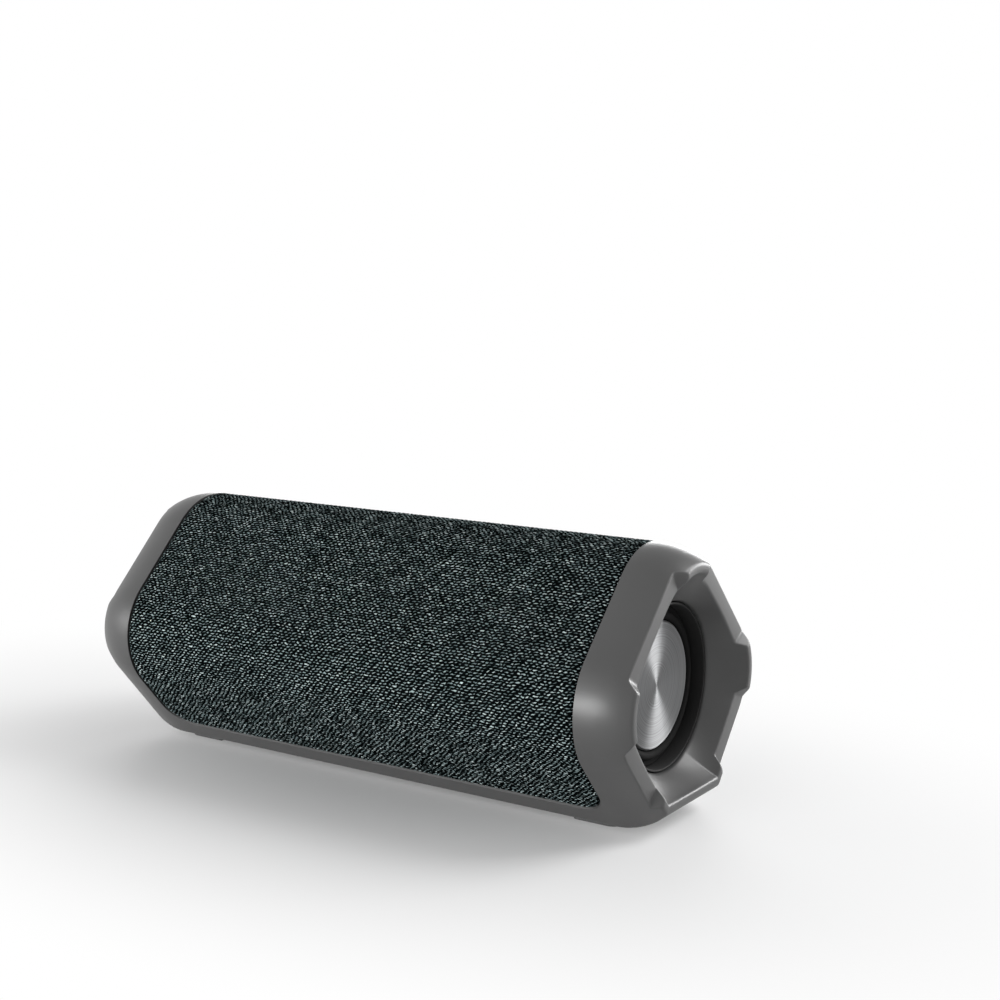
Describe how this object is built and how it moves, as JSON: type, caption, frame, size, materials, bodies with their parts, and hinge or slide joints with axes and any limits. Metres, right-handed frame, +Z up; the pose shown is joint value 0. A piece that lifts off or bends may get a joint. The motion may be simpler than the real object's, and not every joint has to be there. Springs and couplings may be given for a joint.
{
  "type": "portable bluetooth speaker",
  "caption": "Five-sided portable speaker: a grey moulded cradle with barrel-shaped ends holds a cloth-covered cabinet, with spun aluminium passive radiators, press keys and a port flap.",
  "frame": {"origin": "on the floor under the middle of the body, at the underside of the feet", "axes": "+X along the body to the right end, +Y to the back with the control strip, +Z up"},
  "size_m": [0.18, 0.0777, 0.0732],
  "materials": {
    "frame_plastic": "satin",
    "strip_plastic": "satin",
    "cloth": "coarse weave",
    "foot_rubber": "matte",
    "black_rubber": "matte",
    "spun_aluminium": "spun",
    "inner_plastic": "matte",
    "steel": "plated",
    "cone_paper": "matte",
    "circuit_board": "satin",
    "chip": "matte",
    "battery_wrap": "plastic wrap"
  },
  "bodies": {
    "speaker": {"frame": "frame_plastic", "foot_left": "foot_rubber", "foot_right": "foot_rubber", "fabric_sleeve": "cloth", "grille_shell": "inner_plastic", "enclosure": "inner_plastic", "control_panel": "strip_plastic", "usb_port": "steel", "aux_jack": "inner_plastic", "control_board": "circuit_board", "main_board": "circuit_board", "radio_module": "chip", "amplifier_chip": "chip", "power_inductor": "chip", "battery_cell": "battery_wrap", "battery_holder": "inner_plastic", "switch_plus": "inner_plastic", "switch_play": "inner_plastic", "switch_minus": "inner_plastic", "switch_mode": "inner_plastic", "switch_power": "inner_plastic", "base_screw_1": "steel", "board_screw_1": "steel", "base_screw_2": "steel", "board_screw_2": "steel", "base_screw_3": "steel", "board_screw_3": "steel", "base_screw_4": "steel", "board_screw_4": "steel", "end_plate_left": "inner_plastic", "end_gasket_left": "black_rubber", "radiator_ring_left": "inner_plastic", "radiator_surround_left": "black_rubber", "driver_basket_left": "steel", "driver_magnet_left": "steel", "driver_surround_left": "black_rubber", "end_plate_right": "inner_plastic", "end_gasket_right": "black_rubber", "radiator_ring_right": "inner_plastic", "radiator_surround_right": "black_rubber", "driver_basket_right": "steel", "driver_magnet_right": "steel", "driver_surround_right": "black_rubber"},
    "radiator_left": {"radiator_disc_left": "spun_aluminium", "radiator_weight_left": "steel"},
    "radiator_right": {"radiator_disc_right": "spun_aluminium", "radiator_weight_right": "steel"},
    "cone_left": {"driver_cone_left": "cone_paper"},
    "cone_right": {"driver_cone_right": "cone_paper"},
    "key_plus": {"key_plus": "strip_plastic"},
    "key_play": {"key_play": "strip_plastic"},
    "key_minus": {"key_minus": "strip_plastic"},
    "key_mode": {"key_mode": "strip_plastic"},
    "key_power": {"key_power": "strip_plastic"},
    "port_flap": {"port_flap": "strip_plastic"}
  },
  "joints": [
    {"name": "radiator_left_stroke", "type": "slide", "parent": "speaker", "child": "radiator_left", "axis": [-1, 0, 0], "range_m": [-0.0015, 0.0015], "stiffness_N_per_m": 1800, "deforming": ["radiator_surround_left"]},
    {"name": "radiator_right_stroke", "type": "slide", "parent": "speaker", "child": "radiator_right", "axis": [1, 0, 0], "range_m": [-0.0015, 0.0015], "stiffness_N_per_m": 1800, "deforming": ["radiator_surround_right"]},
    {"name": "cone_left_stroke", "type": "slide", "parent": "speaker", "child": "cone_left", "axis": [0, -0.7173, 0.6968], "range_m": [-0.0012, 0.0012], "stiffness_N_per_m": 800, "deforming": ["driver_surround_left"]},
    {"name": "cone_right_stroke", "type": "slide", "parent": "speaker", "child": "cone_right", "axis": [0, -0.7173, 0.6968], "range_m": [-0.0012, 0.0012], "stiffness_N_per_m": 800, "deforming": ["driver_surround_right"]},
    {"name": "key_plus_press", "type": "slide", "parent": "speaker", "child": "key_plus", "axis": [0, -0.9816, -0.1908], "range_m": [0, 0.0007], "stiffness_N_per_m": 2000},
    {"name": "key_play_press", "type": "slide", "parent": "speaker", "child": "key_play", "axis": [0, -0.9816, -0.1908], "range_m": [0, 0.0007], "stiffness_N_per_m": 2000},
    {"name": "key_minus_press", "type": "slide", "parent": "speaker", "child": "key_minus", "axis": [0, -0.9816, -0.1908], "range_m": [0, 0.0007], "stiffness_N_per_m": 2000},
    {"name": "key_mode_press", "type": "slide", "parent": "speaker", "child": "key_mode", "axis": [0, -0.9816, -0.1908], "range_m": [0, 0.0007], "stiffness_N_per_m": 2000},
    {"name": "key_power_press", "type": "slide", "parent": "speaker", "child": "key_power", "axis": [0, -0.9816, -0.1908], "range_m": [0, 0.0007], "stiffness_N_per_m": 2000},
    {"name": "port_flap_hinge", "type": "hinge", "parent": "speaker", "child": "port_flap", "pos_m": [-0.02405, 0.03872, 0.03869], "axis": [0, 0.1908, -0.9816], "range_deg": [0, 110]}
  ]
}
